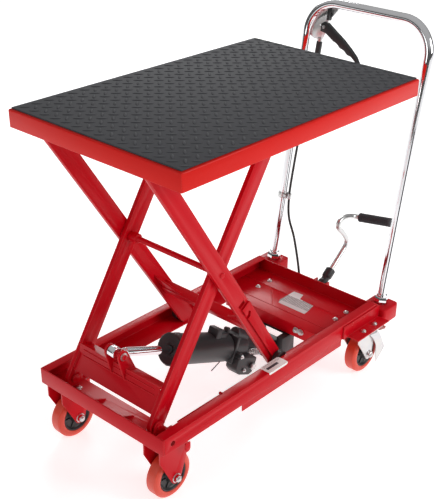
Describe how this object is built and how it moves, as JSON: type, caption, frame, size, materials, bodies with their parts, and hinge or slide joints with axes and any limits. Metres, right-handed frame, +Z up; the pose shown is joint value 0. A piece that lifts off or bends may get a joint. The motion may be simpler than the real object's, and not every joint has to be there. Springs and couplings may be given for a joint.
{
  "type": "scissor lift table",
  "caption": "Hydraulic scissor lift table on casters: flat platform with rubber mat, paired scissor legs, foot pump, release lever and U-shaped push handle.",
  "frame": {"origin": "on the floor, under the middle of the platform", "axes": "+Z up, +X towards the push handle, +Y to the right of someone pushing the handle towards -X"},
  "size_m": [0.874, 0.45, 0.8098],
  "materials": {
    "red_paint": "gloss powder coat",
    "black_rubber": "matte, ribbed",
    "chrome": "polished",
    "zinc_plate": "bright zinc plate",
    "black_casting": "satin black",
    "black_plastic": "satin",
    "red_polyurethane": "satin",
    "brake_tab_red": "satin"
  },
  "bodies": {
    "base": {"front_channel": "red_paint", "side_rail_left": "red_paint", "side_rail_right": "red_paint", "deck_tray": "red_paint", "rear_channel": "red_paint", "caster_bracket_left": "red_paint", "caster_bracket_right": "red_paint", "handle_socket_left": "red_paint", "handle_socket_right": "red_paint", "base_hinge_left": "red_paint", "base_hinge_right": "red_paint", "front_fork_left": "red_paint", "front_fork_right": "red_paint", "swivel_plate_left": "zinc_plate", "swivel_plate_right": "zinc_plate", "pump_mount": "black_casting", "push_handle": "chrome", "handle_nut_left": "chrome", "handle_nut_right": "chrome", "lever_bracket": "zinc_plate", "release_cable": "black_plastic", "cable_clip": "zinc_plate"},
    "inner_legs": {"inner_leg_left": "red_paint", "inner_leg_right": "red_paint", "inner_cross_plate": "red_paint"},
    "outer_legs": {"outer_leg_left": "red_paint", "outer_leg_right": "red_paint", "outer_cross_tie": "red_paint", "centre_rod": "red_paint"},
    "platform": {"platform_pan": "red_paint", "rubber_mat": "black_rubber", "top_hinge_left": "red_paint", "top_hinge_right": "red_paint", "top_track_left": "red_paint", "top_track_right": "red_paint"},
    "lower_roller_left_body": {"lower_roller_left": "black_plastic"},
    "lower_roller_right_body": {"lower_roller_right": "black_plastic"},
    "upper_roller_left_body": {"upper_roller_left": "black_plastic"},
    "upper_roller_right_body": {"upper_roller_right": "black_plastic"},
    "safety_bar_body": {"safety_bar": "red_paint"},
    "ram": {"ram_rod": "chrome"},
    "cylinder": {"reservoir": "black_casting", "pump_head": "black_casting", "valve_plug": "black_casting"},
    "pedal": {"pedal_socket": "black_casting", "pedal_rod": "zinc_plate", "pedal_grip": "black_rubber"},
    "lever": {"release_lever": "black_plastic"},
    "front_left_wheel": {"front_wheel_left_tread": "red_polyurethane", "front_wheel_left_hub": "black_plastic"},
    "front_right_wheel": {"front_wheel_right_tread": "red_polyurethane", "front_wheel_right_hub": "black_plastic"},
    "rear_left_fork": {"rear_fork_left": "zinc_plate"},
    "rear_right_fork": {"rear_fork_right": "zinc_plate"},
    "rear_left_wheel": {"rear_wheel_left_tread": "red_polyurethane", "rear_wheel_left_hub": "black_plastic"},
    "rear_right_wheel": {"rear_wheel_right_tread": "red_polyurethane", "rear_wheel_right_hub": "black_plastic"},
    "rear_left_brake": {"brake_tab_left": "brake_tab_red"},
    "rear_right_brake": {"brake_tab_right": "brake_tab_red"}
  },
  "joints": [
    {"name": "lift", "type": "hinge", "parent": "base", "child": "inner_legs", "pos_m": [-0.327, 0, 0.1605], "axis": [0, -1, 0], "range_deg": [-52.5, 0]},
    {"name": "scissor", "type": "hinge", "parent": "inner_legs", "child": "outer_legs", "pos_m": [-0.15511, 0, 0.42825], "axis": [0, -1, 0], "range_deg": [0, 106]},
    {"name": "platform_hinge", "type": "hinge", "parent": "outer_legs", "child": "platform", "pos_m": [-0.327, 0, 0.696], "axis": [0, -1, 0], "range_deg": [-53.5, 1]},
    {"name": "lower_roller_left_spin", "type": "hinge", "parent": "outer_legs", "child": "lower_roller_left_body", "pos_m": [0.01679, -0.1502, 0.1605], "axis": [0, 1, 0], "continuous": true},
    {"name": "lower_roller_right_spin", "type": "hinge", "parent": "outer_legs", "child": "lower_roller_right_body", "pos_m": [0.01679, 0.1502, 0.1605], "axis": [0, 1, 0], "continuous": true},
    {"name": "upper_roller_left_spin", "type": "hinge", "parent": "inner_legs", "child": "upper_roller_left_body", "pos_m": [0.01679, -0.135, 0.696], "axis": [0, 1, 0], "continuous": true},
    {"name": "upper_roller_right_spin", "type": "hinge", "parent": "inner_legs", "child": "upper_roller_right_body", "pos_m": [0.01679, 0.135, 0.696], "axis": [0, 1, 0], "continuous": true},
    {"name": "safety_bar_swing", "type": "hinge", "parent": "outer_legs", "child": "safety_bar_body", "pos_m": [0.01679, -0.1405, 0.1605], "axis": [0, -1, 0], "range_deg": [0, 57.3]},
    {"name": "ram_hinge", "type": "hinge", "parent": "inner_legs", "child": "ram", "pos_m": [-0.314, 0, 0.268], "axis": [0, -1, 0], "range_deg": [0, 56.09]},
    {"name": "ram_stroke", "type": "slide", "parent": "ram", "child": "cylinder", "axis": [0.9207, 0, -0.3902], "range_m": [-0.0949, 0]},
    {"name": "pedal_press", "type": "hinge", "parent": "base", "child": "pedal", "pos_m": [0.362, 0, 0.143], "axis": [0, 1, 0], "range_deg": [0, 30], "stiffness_Nm_per_rad": 4, "springref_deg": -20.05},
    {"name": "lever_squeeze", "type": "hinge", "parent": "base", "child": "lever", "pos_m": [0.47863, 0.116, 0.74467], "axis": [-0.986, 0, 0.1668], "range_deg": [0, 18], "stiffness_Nm_per_rad": 0.4, "springref_deg": -20.05},
    {"name": "front_left_spin", "type": "hinge", "parent": "base", "child": "front_left_wheel", "pos_m": [-0.318, -0.145, 0.05], "axis": [0, 1, 0], "continuous": true},
    {"name": "front_right_spin", "type": "hinge", "parent": "base", "child": "front_right_wheel", "pos_m": [-0.318, 0.145, 0.05], "axis": [0, 1, 0], "continuous": true},
    {"name": "rear_left_swivel", "type": "hinge", "parent": "base", "child": "rear_left_fork", "pos_m": [0.29, -0.1656, 0.1367], "axis": [0, 0, 1], "continuous": true},
    {"name": "rear_left_spin", "type": "hinge", "parent": "rear_left_fork", "child": "rear_left_wheel", "pos_m": [0.3127, -0.1656, 0.05], "axis": [0, 1, 0], "continuous": true},
    {"name": "rear_left_brake", "type": "hinge", "parent": "rear_left_fork", "child": "rear_left_brake", "pos_m": [0.335, -0.1656, 0.1065], "axis": [0, 1, 0], "range_deg": [0, 7]},
    {"name": "rear_right_swivel", "type": "hinge", "parent": "base", "child": "rear_right_fork", "pos_m": [0.29, 0.1656, 0.1367], "axis": [0, 0, 1], "continuous": true},
    {"name": "rear_right_spin", "type": "hinge", "parent": "rear_right_fork", "child": "rear_right_wheel", "pos_m": [0.3127, 0.1656, 0.05], "axis": [0, 1, 0], "continuous": true},
    {"name": "rear_right_brake", "type": "hinge", "parent": "rear_right_fork", "child": "rear_right_brake", "pos_m": [0.335, 0.1656, 0.1065], "axis": [0, 1, 0], "range_deg": [0, 7]}
  ],
  "couplings": [
    {"joint": "scissor", "follows": "lift", "ratio": -2},
    {"joint": "platform_hinge", "follows": "lift", "ratio": 1},
    {"joint": "ram_hinge", "follows": "lift", "ratio": -1.0493},
    {"joint": "ram_stroke", "follows": "lift", "m_per_rad": 0.10247}
  ]
}
